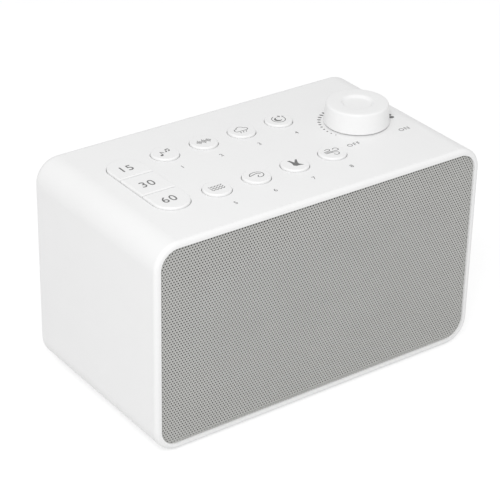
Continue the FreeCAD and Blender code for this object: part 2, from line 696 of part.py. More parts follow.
def volume_pot():
    """Rotary volume control: a round can, a bushing through the top panel and a row of lugs."""
    can = round_z(POT_RADIUS, KNOB_X, KNOB_Y, POT_BOTTOM_Z, CEILING_Z)
    bushing = round_z(BUSHING_RADIUS, KNOB_X, KNOB_Y, CEILING_Z, BUSHING_TOP_Z)
    lugs = []
    for number in range(POT_LUG_COUNT):
        y = KNOB_Y + (number - (POT_LUG_COUNT - 1) / 2) * POT_LUG_PITCH / 2
        lugs.append(box(
            KEYPAD_RIGHT_X - PAST * 3, KNOB_X, y - POT_LUG_WIDTH / 2, y + POT_LUG_WIDTH / 2,
            KEYPAD_TOP_Z, KEYPAD_TOP_Z + POT_LUG_THICKNESS,
        ))
    solid = can.multiFuse([bushing] + lugs)
    bore = round_z(
        SHAFT_RADIUS + SHAFT_RUNNING_CLEARANCE, KNOB_X, KNOB_Y,
        CEILING_Z - SHAFT_BURIED - SHAFT_TIP_GAP, BUSHING_TOP_Z + PAST,
    )
    return solid.cut(bore)


def volume_nut():
    corners = []
    reach = NUT_ACROSS_FLATS / math.sqrt(3)
    for corner in range(7):
        angle = math.radians(60 * corner)
        corners.append(FreeCAD.Vector(
            KNOB_X + reach * math.cos(angle), KNOB_Y + reach * math.sin(angle), NUT_BOTTOM_Z
        ))
    blank = Part.Face(Part.makePolygon(corners)).extrude(FreeCAD.Vector(0, 0, NUT_HEIGHT))
    hole = BUSHING_RADIUS + SCREW_CLEARANCE
    return blank.cut(round_z(hole, KNOB_X, KNOB_Y, NUT_BOTTOM_Z - PAST, NUT_TOP_Z + PAST))


def volume_washer():
    ring = round_z(WASHER_RADIUS, KNOB_X, KNOB_Y, BODY_TOP, NUT_BOTTOM_Z)
    hole = BUSHING_RADIUS + BUSHING_CLEARANCE
    return ring.cut(round_z(hole, KNOB_X, KNOB_Y, BODY_TOP - PAST, NUT_BOTTOM_Z + PAST))


# Speaker
def speaker_gasket():
    return tube_y(
        SEAL_RADIUS, SPEAKER_OPENING_RADIUS, SPEAKER_X, SPEAKER_Z, GASKET_FRONT_Y, BASKET_FRONT_Y
    )


def speaker_basket():
    """Pressed steel frame: eared flange, tapered cage with windows, and a seat for the magnet."""
    flange = round_y(SEAL_RADIUS, SPEAKER_X, SPEAKER_Z, BASKET_FRONT_Y, BASKET_FLANGE_Y)
    ears = [
        round_y(BASKET_EAR_RADIUS, x, z, BASKET_FRONT_Y, BASKET_FLANGE_Y)
        for x, z in speaker_screw_places()
    ]
    flange = flange.multiFuse(ears)
    flange = flange.cut(
        round_y(SPEAKER_OPENING_RADIUS, SPEAKER_X, SPEAKER_Z, BASKET_FRONT_Y - PAST, BASKET_FLANGE_Y + PAST)
    )
    rim = SPEAKER_OPENING_RADIUS
    sheet = BASKET_SHEET
    floor_y = TOP_PLATE_Y - sheet
    shelf_in = SPIDER_RADIUS - SPIDER_SHELF_WIDTH
    shelf_y = SPIDER_Y + SPIDER_SHEET
    inner = [
        (rim, BASKET_FRONT_Y), (BASKET_BACK_RADIUS, shelf_y), (shelf_in, shelf_y), (shelf_in, floor_y),
        (MAGNET_HOLE_RADIUS, floor_y),
    ]
    outer = [
        (MAGNET_HOLE_RADIUS, TOP_PLATE_Y), (shelf_in + sheet, TOP_PLATE_Y),
        (shelf_in + sheet, shelf_y + sheet), (BASKET_BACK_RADIUS + sheet, shelf_y + sheet),
        (rim + sheet, BASKET_FLANGE_Y), (rim + sheet, BASKET_FRONT_Y),
    ]
    cage = turned(inner + outer)
    solid = cage.fuse(flange).removeSplitter()
    windows = []
    half = BASKET_WINDOW_WIDTH / 2
    for number in range(BASKET_WINDOWS):
        window = box(
            BASKET_BACK_RADIUS + sheet * 2, SEAL_RADIUS * 2, BASKET_FLANGE_Y + sheet,
            shelf_y - sheet, -half, half,
        )
        angle = 360 / BASKET_WINDOWS * number
        place = FreeCAD.Vector(SPEAKER_X, 0, SPEAKER_Z)
        windows.append(placed(window, place, FreeCAD.Vector(0, 1, 0), angle))
    holes = [
        round_y(SMALL_SCREW_RADIUS + SCREW_CLEARANCE, x, z, BASKET_FRONT_Y - PAST, BASKET_FLANGE_Y + PAST)
        for x, z in speaker_screw_places()
    ]
    return solid.cut(windows + holes)


def speaker_screws():
    across = FreeCAD.Vector(1, 0, 0)
    return Part.makeCompound([
        placed(small_screw(), FreeCAD.Vector(x, BASKET_FLANGE_Y, z), across, -90)
        for x, z in speaker_screw_places()
    ])


def speaker_surround():
    """Half-roll rubber ring between the cone's edge and the basket's rim."""
    steps = 12
    line = []
    middle = SPEAKER_OPENING_RADIUS - SURROUND_WIDTH / 2
    half = SURROUND_WIDTH / 2
    for step in range(steps + 1):
        angle = math.pi * step / steps
        line.append((middle - half * math.cos(angle), BASKET_FRONT_Y - half * 0.9 * math.sin(angle)))
    return turned(sheet_points(line, -SURROUND_SHEET))


def speaker_cone():
    """Paper cone with a gentle flare, from the coil's former out to the surround."""
    line = []
    steps = 8
    for step in range(steps + 1):
        share = step / steps
        radius = COIL_OUTER_RADIUS + (CONE_RADIUS - COIL_OUTER_RADIUS) * share
        line.append((radius, CONE_NECK_Y - CONE_DEPTH * share ** 0.8 - CONE_SHEET))
    return turned(sheet_points(line, CONE_SHEET))


def speaker_dust_cap():
    """Thin dome that covers the coil, glued to the cone."""
    share = (DUST_CAP_RADIUS - COIL_OUTER_RADIUS) / (CONE_RADIUS - COIL_OUTER_RADIUS)
    edge_y = CONE_NECK_Y - CONE_DEPTH * share ** 0.8 - CONE_SHEET * 2
    line = []
    steps = 6
    for step in range(steps + 1):
        spread = step / steps
        line.append((DUST_CAP_RADIUS * spread, edge_y - DUST_CAP_RISE * (1 - spread ** 2)))
    return turned(sheet_points(line, CONE_SHEET))


def voice_coil():
    """Former tube with a wire winding that sits in the magnet's gap."""
    former = tube_y(COIL_OUTER_RADIUS, COIL_RADIUS, SPEAKER_X, SPEAKER_Z, CONE_NECK_Y, COIL_BACK_Y)
    middle = TOP_PLATE_Y + PLATE_THICKNESS / 2
    winding = tube_y(
        COIL_OUTER_RADIUS + COIL_WINDING, COIL_RADIUS, SPEAKER_X, SPEAKER_Z,
        middle - COIL_WINDING_LENGTH / 2, middle + COIL_WINDING_LENGTH / 2,
    )
    return former.fuse(winding).removeSplitter()


def speaker_spider():
    """Corrugated ring that centres the coil in its gap."""
    steps = SPIDER_WAVES * 8
    start = COIL_OUTER_RADIUS + SHAFT_RUNNING_CLEARANCE
    line = []
    for step in range(steps + 1):
        share = step / steps
        radius = start + (SPIDER_RADIUS - SPIDER_SHELF_WIDTH - start) * share
        lift = SPIDER_WAVE_HEIGHT * math.sin(2 * math.pi * SPIDER_WAVES * share)
        line.append((radius, SPIDER_Y - lift))
    line.append((SPIDER_RADIUS, SPIDER_Y))
    return turned(sheet_points(line, SPIDER_SHEET))


def speaker_top_plate():
    hole = COIL_OUTER_RADIUS + COIL_WINDING + AIR_GAP
    return tube_y(PLATE_RADIUS, hole, SPEAKER_X, SPEAKER_Z, TOP_PLATE_Y, MAGNET_Y)


def speaker_magnet():
    return tube_y(MAGNET_RADIUS, MAGNET_HOLE_RADIUS, SPEAKER_X, SPEAKER_Z, MAGNET_Y, YOKE_Y)


def speaker_yoke():
    """Back plate and centre pole in one steel piece."""
    plate = round_y(PLATE_RADIUS, SPEAKER_X, SPEAKER_Z, YOKE_Y, YOKE_BACK_Y)
    pole = round_y(COIL_RADIUS - POLE_GAP, SPEAKER_X, SPEAKER_Z, TOP_PLATE_Y, YOKE_Y)
    return plate.fuse(pole).removeSplitter()


def speaker_terminal():
    """Fibre strip with two solder tags, on the side of the magnet's front plate."""
    x = SPEAKER_X + PLATE_RADIUS
    strip = box(
        x, x + TERMINAL_THICKNESS, TOP_PLATE_Y, TOP_PLATE_Y + TERMINAL_HEIGHT,
        SPEAKER_Z - TERMINAL_WIDTH / 2, SPEAKER_Z + TERMINAL_WIDTH / 2,
    )
    seat = round_y(MAGNET_RADIUS + FLANGE_GAP, SPEAKER_X, SPEAKER_Z, MAGNET_Y, YOKE_BACK_Y)
    seat = seat.fuse(round_y(PLATE_RADIUS, SPEAKER_X, SPEAKER_Z, TOP_PLATE_Y, MAGNET_Y))
    tags = []
    for side in (-1, 1):
        z = SPEAKER_Z + side * LEAD_SPACING
        tags.append(box(
            x + TERMINAL_THICKNESS / 2, x + TAG_LENGTH, TOP_PLATE_Y,
            TOP_PLATE_Y + POT_LUG_THICKNESS, z - POT_LUG_WIDTH / 2, z + POT_LUG_WIDTH / 2,
        ))
    return strip.multiFuse(tags).cut(seat)


# Main board
def main_board():
    half = MAIN_BOARD_WIDTH / 2
    board = rounded_slab(
        -half, half, MAIN_BOARD_FRONT_Y, MAIN_BOARD_BACK_Y,
        BOARD_CORNER_RADIUS, MAIN_BOARD_BOTTOM_Z, MAIN_BOARD_TOP_Z,
    )
    hole = SMALL_SCREW_RADIUS + SCREW_CLEARANCE
    return board.cut([
        round_z(hole, x, y, MAIN_BOARD_BOTTOM_Z - PAST, MAIN_BOARD_TOP_Z + PAST)
        for x, y in main_boss_places()
    ])


def main_board_screws():
    return Part.makeCompound([
        placed(small_screw(), FreeCAD.Vector(x, y, MAIN_BOARD_TOP_Z)) for x, y in main_boss_places()
    ])


def power_inlet():
    """Barrel socket on the board, its mouth at the rear cover."""
    half = INLET_WIDTH / 2
    body = box(
        INLET_X - half, INLET_X + half, COVER_FRONT_Y - INLET_LENGTH, COVER_FRONT_Y,
        MAIN_BOARD_TOP_Z, MAIN_BOARD_TOP_Z + INLET_HEIGHT,
    )
    bore = round_y(
        INLET_BORE_RADIUS, INLET_X, INLET_Z, COVER_FRONT_Y - INLET_BORE_DEPTH, COVER_FRONT_Y + PAST
    )
    return body.cut(bore)


def power_inlet_pin():
    start = COVER_FRONT_Y - INLET_BORE_DEPTH
    pin = round_y(INLET_PIN_RADIUS, INLET_X, INLET_Z, start, COVER_FRONT_Y - PAST)
    return rounded_at_y(pin, COVER_FRONT_Y - PAST, INLET_PIN_RADIUS / 2)


def board_chips():
    """Sound chip, memory and amplifier."""
    chips = []
    for number in range(CHIP_COUNT):
        x = (number - (CHIP_COUNT - 1) / 2) * CHIP_PITCH_X
        chips.append(box(
            x - CHIP_LONG / 2, x + CHIP_LONG / 2, CHIP_Y - CHIP_WIDE / 2, CHIP_Y + CHIP_WIDE / 2,
            MAIN_BOARD_TOP_Z, MAIN_BOARD_TOP_Z + CHIP_THICK,
        ))
    return Part.makeCompound(chips)


def board_capacitors():
    cans = []
    for number in range(CAPACITOR_COUNT):
        x = CAPACITOR_X + number * CAPACITOR_PITCH_X - CAPACITOR_PITCH_X / 2
        can = round_z(CAPACITOR_RADIUS, x, CAPACITOR_Y, MAIN_BOARD_TOP_Z, MAIN_BOARD_TOP_Z + CAPACITOR_HEIGHT)
        cans.append(rounded_at_z(can, MAIN_BOARD_TOP_Z + CAPACITOR_HEIGHT, POT_LUG_THICKNESS))
    return Part.makeCompound(cans)


def plug_block(x, y, z0, z1):
    return box(x - PLUG_LENGTH / 2, x + PLUG_LENGTH / 2, y - PLUG_WIDTH / 2, y + PLUG_WIDTH / 2, z0, z1)


def board_connectors():
    """Plug blocks: the ribbon's on both boards, and the speaker leads' on the main board."""
    low = plug_block(RIBBON_X, RIBBON_Y, MAIN_BOARD_TOP_Z, MAIN_BOARD_TOP_Z + PLUG_HEIGHT)
    high = plug_block(RIBBON_X, RIBBON_Y, KEYPAD_BOTTOM_Z - PLUG_HEIGHT, KEYPAD_BOTTOM_Z)
    leads = plug_block(LEAD_PLUG_X, LEAD_PLUG_Y, MAIN_BOARD_TOP_Z, MAIN_BOARD_TOP_Z + PLUG_HEIGHT)
    return Part.makeCompound([low, high, leads])


def ribbon_cable():
    half = RIBBON_WIDTH / 2
    return box(
        RIBBON_X - half, RIBBON_X + half, RIBBON_Y - RIBBON_THICKNESS / 2,
        RIBBON_Y + RIBBON_THICKNESS / 2, MAIN_BOARD_TOP_Z + PLUG_HEIGHT, KEYPAD_BOTTOM_Z - PLUG_HEIGHT,
    )


def speaker_leads():
    """Two wires from the speaker's tags, back and down to their plug on the main board."""
    leads = []
    for side in (-1, 1):
        x = LEAD_PLUG_X + side * LEAD_SPACING / 2
        z = SPEAKER_Z + side * LEAD_SPACING
        start = FreeCAD.Vector(x, TOP_PLATE_Y + POT_LUG_THICKNESS, z)
        corner = FreeCAD.Vector(x, LEAD_PLUG_Y, z)
        end = FreeCAD.Vector(x, LEAD_PLUG_Y, MAIN_BOARD_TOP_Z + PLUG_HEIGHT)
        before = FreeCAD.Vector(x, LEAD_PLUG_Y - LEAD_BEND, z)
        after = FreeCAD.Vector(x, LEAD_PLUG_Y, z - LEAD_BEND)
        slant = LEAD_BEND * (1 - math.sqrt(0.5))
        middle = FreeCAD.Vector(x, corner.y - slant, z - slant)
        path = Part.Wire([
            Part.LineSegment(start, before).toShape(),
            Part.Arc(before, middle, after).toShape(),
            Part.LineSegment(after, end).toShape(),
        ])
        ring = Part.Wire(Part.Circle(start, FreeCAD.Vector(0, 1, 0), LEAD_RADIUS).toShape())
        leads.append(path.makePipeShell([ring], True, True))
    return Part.makeCompound(leads)


# Every node and its solid
def all_parts():
    parts = {
        "main_housing": main_housing(),
        "front_grille": front_grille(),
        "grille_cloth": grille_cloth(),
        "rear_cover": rear_cover(),
        "rear_cover_screws": rear_cover_screws(),
        "rubber_feet": rubber_feet(),
        "tact_switches": tact_switches(),
        "keypad_board": keypad_board(),
        "keypad_screws": keypad_screws(),
        "volume_knob": volume_knob(),
        "volume_shaft": volume_shaft(),
        "volume_pot": volume_pot(),
        "volume_nut": volume_nut(),
        "volume_washer": volume_washer(),
        "speaker_gasket": speaker_gasket(),
        "speaker_basket": speaker_basket(),
        "speaker_screws": speaker_screws(),
        "speaker_surround": speaker_surround(),
        "speaker_cone": speaker_cone(),
        "speaker_dust_cap": speaker_dust_cap(),
        "voice_coil": voice_coil(),
        "speaker_spider": speaker_spider(),
        "speaker_top_plate": speaker_top_plate(),
        "speaker_magnet": speaker_magnet(),
        "speaker_yoke": speaker_yoke(),
        "speaker_terminal": speaker_terminal(),
        "main_board": main_board(),
        "main_board_screws": main_board_screws(),
        "power_inlet": power_inlet(),
        "power_inlet_pin": power_inlet_pin(),
        "board_chips": board_chips(),
        "board_capacitors": board_capacitors(),
        "board_connectors": board_connectors(),
        "ribbon_cable": ribbon_cable(),
        "speaker_leads": speaker_leads(),
    }
    for number, (x, y) in enumerate(button_places(), 1):
        parts["sound_button_%d" % number] = sound_button(x, y)
        parts["sound_plunger_%d" % number] = switch_plunger(x, y)
    for name, (low, high) in zip(TIMER_NAMES, timer_spans()):
        parts["timer_button_" + name] = timer_button(low, high)
        parts["timer_plunger_" + name] = switch_plunger(TIMER_X, (low + high) / 2)
    return parts


os.makedirs("parts", exist_ok=True)
for node, shape in all_parts().items():
    solids = shape.Solids
    print("%-20s solids %2d  volume %10.1f  valid %s" % (node, len(solids), shape.Volume, shape.isValid()))
    shape.exportStep("parts/%s.step" % node)
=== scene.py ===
import json
import math

import bpy
from mathutils import Matrix, Vector


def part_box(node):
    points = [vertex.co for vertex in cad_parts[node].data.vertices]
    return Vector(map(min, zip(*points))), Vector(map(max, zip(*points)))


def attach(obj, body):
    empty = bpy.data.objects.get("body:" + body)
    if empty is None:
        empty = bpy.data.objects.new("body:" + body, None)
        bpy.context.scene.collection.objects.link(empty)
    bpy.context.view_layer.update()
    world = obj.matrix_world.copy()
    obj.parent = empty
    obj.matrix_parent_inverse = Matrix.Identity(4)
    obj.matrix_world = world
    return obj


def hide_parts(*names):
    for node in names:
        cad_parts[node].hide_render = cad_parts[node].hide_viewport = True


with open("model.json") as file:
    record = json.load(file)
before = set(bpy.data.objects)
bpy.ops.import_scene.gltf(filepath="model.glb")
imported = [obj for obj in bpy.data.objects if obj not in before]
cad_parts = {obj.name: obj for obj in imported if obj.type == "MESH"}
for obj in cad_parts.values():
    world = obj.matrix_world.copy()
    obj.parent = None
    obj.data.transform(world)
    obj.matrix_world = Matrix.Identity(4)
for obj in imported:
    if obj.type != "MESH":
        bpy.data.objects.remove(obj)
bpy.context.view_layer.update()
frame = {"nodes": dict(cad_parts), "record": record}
MM = 0.001

# Places read from the frame
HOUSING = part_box("main_housing")
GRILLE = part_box("front_grille")
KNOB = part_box("volume_knob")
TOP_Z = HOUSING[1].z
KNOB_X = (KNOB[0].x + KNOB[1].x) / 2
KNOB_Y = (KNOB[0].y + KNOB[1].y) / 2

# Print, a thin film of ink on the plastic
INK_THICK = 0.03 * MM
INK_LIFT = 0.005 * MM
CAPITAL_SHARE = 0.7

# Perforated sheet
HOLE_PITCH = 1.343 * MM
HOLE_SIZE = 0.40 * MM
SHEET_THICK = 0.3 * MM
GRILLE_CORNER = 8.05 * MM
CORNER_CUTS = 9

# Knob
KNOB_DRAFT = 0.6 * MM
KNOB_EDGE = 1.0 * MM
KNOB_WALL = 2.0 * MM
KNOB_CEILING = 2.6 * MM
KNOB_FOOT_LIP = 0.3 * MM
KNOB_MIDDLE = 0.5 * MM
KNOB_SIDES = 128
KNOB_EDGE_STEPS = 8
KNOB_SMOOTH_ANGLE = 35
DISH_RADIUS = 6.9 * MM
DISH_DEPTH = 1.1 * MM
DISH_LIP = 0.4 * MM
DISH_CORNER = 1.2 * MM
DISH_WALL_SLOPE = 40.0
DISH_STEPS = 4

# Camera, solved from the outline of the casing and the grille
CAMERA_TARGET = Vector((-3.76, 0.0, 50.90)) * MM
CAMERA_AZIMUTH = -36.184
CAMERA_ELEVATION = 29.177
CAMERA_ROLL = 1.161
CAMERA_DISTANCE = 835.9 * MM
CAMERA_LENS = 140.24
SENSOR_WIDTH = 36

# Light and floor
WORLD_LIGHT = 0.70
KEY_PLACE = (-0.52, -0.57, 0.82)
KEY_SIZE = 0.35
KEY_POWER = 5.1
LAMP_AIM = Vector((0, 0, 0.05))
FLOOR_SIZE = 12
FLOOR_PAPER = (0.80, 0.80, 0.80, 1)
FLOOR_SHADE = (0.34, 0.34, 0.34, 1)
FLOOR_GLOW = 0.72


# Modelling helpers
def deselect():
    for item in bpy.context.selected_objects:
        item.select_set(False)


def make_active(piece):
    deselect()
    piece.select_set(True)
    bpy.context.view_layer.objects.active = piece


def settle(piece):
    """Puts the piece's place into its mesh and leaves its object at the origin."""
    make_active(piece)
    bpy.ops.object.transform_apply(location=True, rotation=True, scale=True)


def named(name):
    piece = bpy.context.active_object
    piece.name = name
    piece.data.name = name
    return piece


def edit(piece):
    make_active(piece)
    bpy.ops.object.mode_set(mode="EDIT")
    bpy.ops.mesh.select_all(action="SELECT")


def leave_edit():
    bpy.ops.object.mode_set(mode="OBJECT")


def close_up(piece, merge=0.0001 * MM):
    """Merges doubled points and turns every face outwards."""
    edit(piece)
    bpy.ops.mesh.remove_doubles(threshold=merge)
    bpy.ops.mesh.normals_make_consistent(inside=False)
    leave_edit()


def apply_modifier(piece, kind, **settings):
    make_active(piece)
    modifier = piece.modifiers.new(kind.lower(), kind)
    for key, value in settings.items():
        setattr(modifier, key, value)
    bpy.ops.object.modifier_apply(modifier=modifier.name)


def copied(piece, name):
    twin = piece.copy()
    twin.data = piece.data.copy()
    twin.name = name
    twin.data.name = name
    bpy.context.scene.collection.objects.link(twin)
    return twin


def joined(pieces, name):
    make_active(pieces[0])
    for piece in pieces[1:]:
        piece.select_set(True)
    if len(pieces) > 1:
        bpy.ops.object.join()
    return named(name)


def turned(name, centre, profile, sides=96):
    """Round piece drawn up ring by ring: each (radius, z) extrudes the last face and sizes it."""
    radius, height = profile[0]
    deselect()
    bpy.ops.mesh.primitive_circle_add(
        vertices=sides, radius=radius, fill_type="NGON", location=(centre[0], centre[1], height)
    )
    piece = named(name)
    settle(piece)
    edit(piece)
    for next_radius, next_height in profile[1:]:
        bpy.ops.mesh.extrude_region_move(
            TRANSFORM_OT_translate={"value": (0, 0, next_height - height)}
        )
        share = next_radius / radius
        bpy.ops.transform.resize(
            value=(share, share, 1), center_override=(centre[0], centre[1], next_height)
        )
        radius, height = next_radius, next_height
    leave_edit()
    close_up(piece)
    return piece


def arc_points(centre_r, centre_z, radius, start, stop, steps):
    points = []
    for step in range(steps + 1):
        angle = math.radians(start + (stop - start) * step / steps)
        points.append((centre_r + radius * math.cos(angle), centre_z + radius * math.sin(angle)))
    return points


# Grille
def cut_away(piece, point, normal):
    """Trims off what lies beyond a plane, on the side that its normal points to."""
    edit(piece)
    bpy.ops.mesh.bisect(plane_co=point, plane_no=normal, clear_outer=True, threshold=0.0001 * MM)
    leave_edit()


def mesh_cell():
    """The metal between three neighbouring holes: a triangle with its corners cut off."""
    deselect()
    bpy.ops.mesh.primitive_circle_add(
        vertices=3, radius=HOLE_PITCH / math.sqrt(3), fill_type="NGON", rotation=(math.pi / 2, 0, 0)
    )
    cell = named("mesh_cell")
    settle(cell)
    edit(cell)
    bpy.ops.mesh.bevel(
        offset=HOLE_SIZE, offset_type="ABSOLUTE", affect="VERTICES", segments=1, clamp_overlap=True
    )
    leave_edit()
    return cell


def perforated_sheet():
    """Flat sheet with staggered holes, trimmed to the rounded outline of the recess."""
    low, high = GRILLE
    centre = (low + high) / 2
    row_step = HOLE_PITCH * math.sqrt(0.75)
    columns = int((high.x - low.x) / HOLE_PITCH) + 4
    row_pairs = int((high.z - low.z) / (2 * row_step)) + 2
    up = mesh_cell()
    lowest = min(vertex.co.z for vertex in up.data.vertices)
    up.location.z = -lowest
    settle(up)
    down = copied(up, "mesh_cell_down")
    down.scale.z = -1
    down.location = (HOLE_PITCH / 2, 0, row_step)
    settle(down)
    first_row = joined([up, down], "mesh_row")
    second_row = copied(first_row, "mesh_row_above")
    second_row.location = (HOLE_PITCH / 2, 0, row_step)
    settle(second_row)
    sheet = joined([first_row, second_row], "perforated_sheet")
    apply_modifier(
        sheet, "ARRAY", count=columns, use_relative_offset=False, use_constant_offset=True,
        constant_offset_displace=(HOLE_PITCH, 0, 0),
    )
    apply_modifier(
        sheet, "ARRAY", count=row_pairs, use_relative_offset=False, use_constant_offset=True,
        constant_offset_displace=(0, 0, 2 * row_step),
    )
    sheet.location = (
        centre.x - columns * HOLE_PITCH / 2, low.y + SHEET_THICK, centre.z - row_pairs * row_step
    )
    settle(sheet)
    close_up(sheet, 0.002 * MM)

    half = (high - low) / 2
    for side_x in (-1, 1):
        cut_away(sheet, centre + Vector((side_x * half.x, 0, 0)), (side_x, 0, 0))
    for side_z in (-1, 1):
        cut_away(sheet, centre + Vector((0, 0, side_z * half.z)), (0, 0, side_z))
    for side_x in (-1, 1):
        for side_z in (-1, 1):
            corner = centre + Vector((
                side_x * (half.x - GRILLE_CORNER), 0, side_z * (half.z - GRILLE_CORNER)
            ))
            for number in range(1, CORNER_CUTS):
                angle = math.pi / 2 * number / CORNER_CUTS
                way = Vector((side_x * math.cos(angle), 0, side_z * math.sin(angle)))
                cut_away(sheet, corner + way * GRILLE_CORNER, way)
    return sheet


def face_front(piece):
    """Turns the flat sheet's faces towards the front."""
    edit(piece)
    bpy.ops.mesh.normals_make_consistent(inside=False)
    leave_edit()
    if sum(face.normal.y * face.area for face in piece.data.polygons) > 0:
        edit(piece)
        bpy.ops.mesh.flip_normals()
        leave_edit()


def front_grille():
    """The sheet in two halves, so that each mesh stays light, with thickness added behind."""
    left = perforated_sheet()
    right = copied(left, "grille_right")
    left.name = "grille_left"
    middle = (GRILLE[0] + GRILLE[1]) / 2
    cut_away(left, middle, (1, 0, 0))
    cut_away(right, middle, (-1, 0, 0))
    for half in (left, right):
        face_front(half)
        half.location.y = -SHEET_THICK
        settle(half)
        apply_modifier(half, "SOLIDIFY", thickness=SHEET_THICK, offset=-1, use_rim=True)
        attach(half, "casing")
        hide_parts("front_grille")
    return [left, right]


# Knob
def knob_cap():
    """Hollow knob with a slight draft, a rolled top edge and a shallow dish."""
    bottom, top = KNOB[0].z, KNOB[1].z
    base_radius = (KNOB[1].x - KNOB[0].x) / 2
    top_radius = base_radius - KNOB_DRAFT
    ceiling = top - KNOB_CEILING
    inner = top_radius - KNOB_WALL
    profile = [(KNOB_MIDDLE, ceiling), (inner, ceiling), (inner, bottom)]
    profile += [(base_radius - KNOB_FOOT_LIP, bottom), (base_radius, bottom + KNOB_FOOT_LIP)]
    profile += arc_points(top_radius - KNOB_EDGE, top - KNOB_EDGE, KNOB_EDGE, 0, 90, KNOB_EDGE_STEPS)
    slope = math.radians(DISH_WALL_SLOPE)
    for step in range(DISH_STEPS + 1):
        turn = slope * step / DISH_STEPS
        profile.append((
            DISH_RADIUS + DISH_LIP * (1 - math.sin(turn)), top - DISH_LIP * (1 - math.cos(turn))
        ))
    lip_radius, lip_height = profile[-1]
    floor_height = top - DISH_DEPTH
    foot_height = floor_height + DISH_CORNER * (1 - math.cos(slope))
    foot_radius = lip_radius - (lip_height - foot_height) / math.tan(slope)
    for step in range(DISH_STEPS + 1):
        turn = slope * (1 - step / DISH_STEPS)
        profile.append((
            foot_radius - DISH_CORNER * (math.sin(slope) - math.sin(turn)),
            floor_height + DISH_CORNER * (1 - math.cos(turn)),
        ))
    profile.append((KNOB_MIDDLE, floor_height))
    piece = turned("knob_cap", (KNOB_X, KNOB_Y), profile, KNOB_SIDES)
    make_active(piece)
    bpy.ops.object.shade_smooth_by_angle(angle=math.radians(KNOB_SMOOTH_ANGLE))
    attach(piece, "knob")
    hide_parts("volume_knob")
    return piece


# Print
def inked(piece, name, body, height):
    """Lays a finished flat print on the surface at that height."""
    piece.name = name
    settle(piece)
    lowest = min(vertex.co.z for vertex in piece.data.vertices)
    piece.location.z = height + INK_LIFT - lowest
    settle(piece)
    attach(piece, body)
    piece.data.materials.clear()
    piece.data.materials.append(FINISHES["ink"])
    return piece


def printed_text(words, x, y, height, bold=0.0, spacing=1.0):
    """Flat lettering, centred on (x, y), with capitals of that height."""
    deselect()
    bpy.ops.object.text_add(location=(x, y, 0))
    text = bpy.context.active_object
    text.data.body = words
    text.data.align_x = "CENTER"
    text.data.align_y = "CENTER"
    text.data.size = height / CAPITAL_SHARE
    text.data.offset = bold * height
    text.data.space_character = spacing
    text.data.extrude = INK_THICK / 2
    bpy.ops.object.convert(target="MESH")
    return bpy.context.active_object


def filled(outlines, x, y):
    """Flat print from closed outlines of (x, y) points in millimetres; an inner one is a hole."""
    curve = bpy.data.curves.new("print", "CURVE")
    curve.dimensions = "2D"
    curve.fill_mode = "BOTH"
    curve.extrude = INK_THICK / 2
    for outline in outlines:
        spline = curve.splines.new("POLY")
        spline.points.add(len(outline) - 1)
        for point, (a, b) in zip(spline.points, outline):
            point.co = (x + a * MM, y + b * MM, 0, 1)
        spline.use_cyclic_u = True
    return as_mesh(curve)


def stroked(lines, width, x, y):
    """Flat print from smooth open lines of (x, y) points in millimetres, with round ends."""
    curve = bpy.data.curves.new("print", "CURVE")
    curve.dimensions = "3D"
    curve.bevel_depth = width * MM / 2
    curve.bevel_resolution = 2
    curve.use_fill_caps = True
    curve.resolution_u = 6
    for line in lines:
        spline = curve.splines.new("NURBS")
        spline.points.add(len(line) - 1)
        for point, (a, b) in zip(spline.points, line):
            point.co = (x + a * MM, y + b * MM, 0, 1)
        spline.order_u = min(3, len(line))
        spline.use_endpoint_u = True
    piece = as_mesh(curve)
    piece.scale.z = INK_THICK / (width * MM)
    settle(piece)
    return piece


def as_mesh(curve):
    piece = bpy.data.objects.new("print", curve)
    bpy.context.scene.collection.objects.link(piece)
    make_active(piece)
    bpy.ops.object.convert(target="MESH")
    return bpy.context.active_object


def circle(radius, x=0.0, y=0.0, steps=24, start=0.0, stop=360.0):
    """Points of an arc in millimetres; a whole circle leaves out its repeated last point."""
    count = steps if stop - start == 360.0 else steps + 1
    points = []
    for step in range(count):
        angle = math.radians(start + (stop - start) * step / steps)
        points.append((x + radius * math.cos(angle), y + radius * math.sin(angle)))
    return points


def ellipse(long, wide, tilt, x, y, steps=20):
    turn = math.radians(tilt)
    points = []
    for a, b in circle(1.0, steps=steps):
        a, b = a * long, b * wide
        points.append((
            x + a * math.cos(turn) - b * math.sin(turn), y + a * math.sin(turn) + b * math.cos(turn)
        ))
    return points


def star(radius, x, y):
    points = []
    for step in range(8):
        reach = radius if step % 2 == 0 else radius * 0.38
        angle = math.pi / 4 * step + math.pi / 2
        points.append((x + reach * math.cos(angle), y + reach * math.sin(angle)))
    return points


def icon_notes(x, y):
    heads = [ellipse(0.8, 0.6, 25, -2.4, -1.5)]
    heads += [ellipse(0.5, 0.38, 25, 0.9, 0.5), ellipse(0.5, 0.38, 25, 2.5, 0.8)]
    beam = [(1.3, 2.5), (2.95, 2.8), (2.95, 2.2), (1.3, 1.9)]
    single = [(-1.68, -1.4), (-1.68, 1.5)]
    flag = [(-1.68, 1.5), (-1.3, 0.9), (-0.5, 0.6), (-0.5, -0.3)]
    stems = [single, flag, [(1.32, 0.6), (1.32, 2.3)], [(2.93, 0.9), (2.93, 2.6)]]
    return [filled(heads + [beam], x, y), stroked(stems, 0.34, x, y)]


def icon_sound(x, y):
    heights = (0.5, 1.0, 1.7, 1.0, 0.6, 1.2, 2.0, 1.2, 0.6, 1.0, 1.7, 1.0, 0.5)
    bars = []
    for number, height in enumerate(heights):
        at = (number - (len(heights) - 1) / 2) * 0.56
        bars.append([(at, -height), (at, height)])
    return [stroked(bars, 0.3, x, y)]


